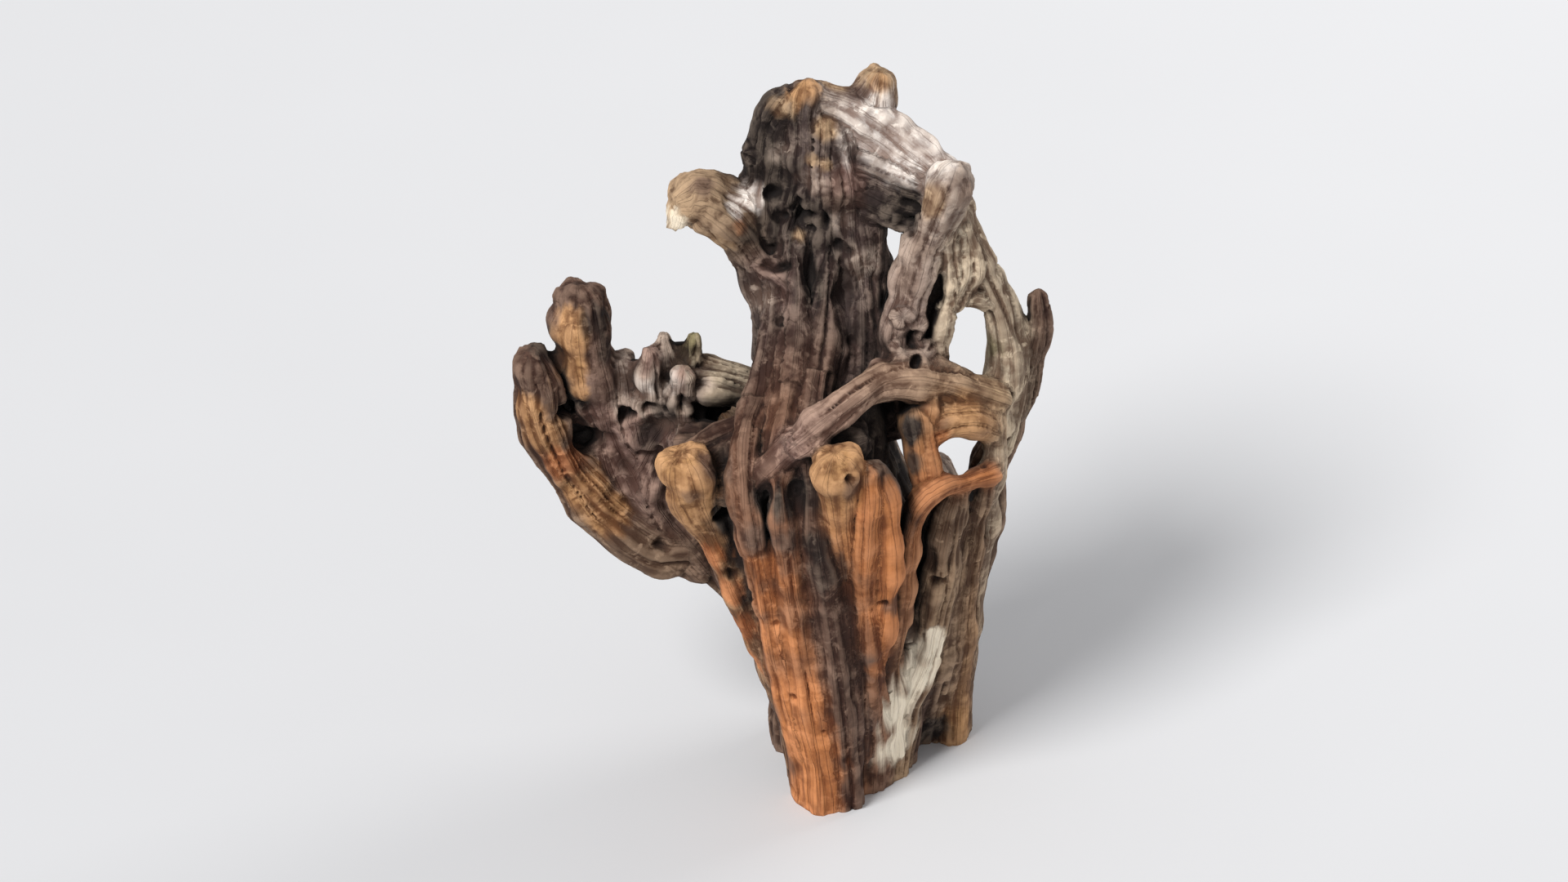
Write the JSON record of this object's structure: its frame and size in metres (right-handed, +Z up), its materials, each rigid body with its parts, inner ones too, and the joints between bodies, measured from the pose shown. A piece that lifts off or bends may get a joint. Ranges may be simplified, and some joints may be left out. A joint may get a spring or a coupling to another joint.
{
  "type": "driftwood",
  "caption": "Weathered driftwood root end, standing on its narrow broken trunk and flaring up into a crown of worn root stubs, a tall plate and thin looped roots.",
  "frame": {"origin": "on the flat broken end of the trunk that it stands on, inside that face, below the middle of the trunk", "axes": "+Z up, from the broken trunk end to the top of the root crown; +X to the right and +Y to the back as the picture sees it, so the root stubs that reach furthest sideways point to -X"},
  "size_m": [0.5072, 0.3231, 0.733],
  "materials": {
    "driftwood": "bare weathered wood, matt, from rust orange and dark brown to bleached grey"
  },
  "bodies": {
    "root": {"driftwood": "driftwood"}
  },
  "joints": []
}
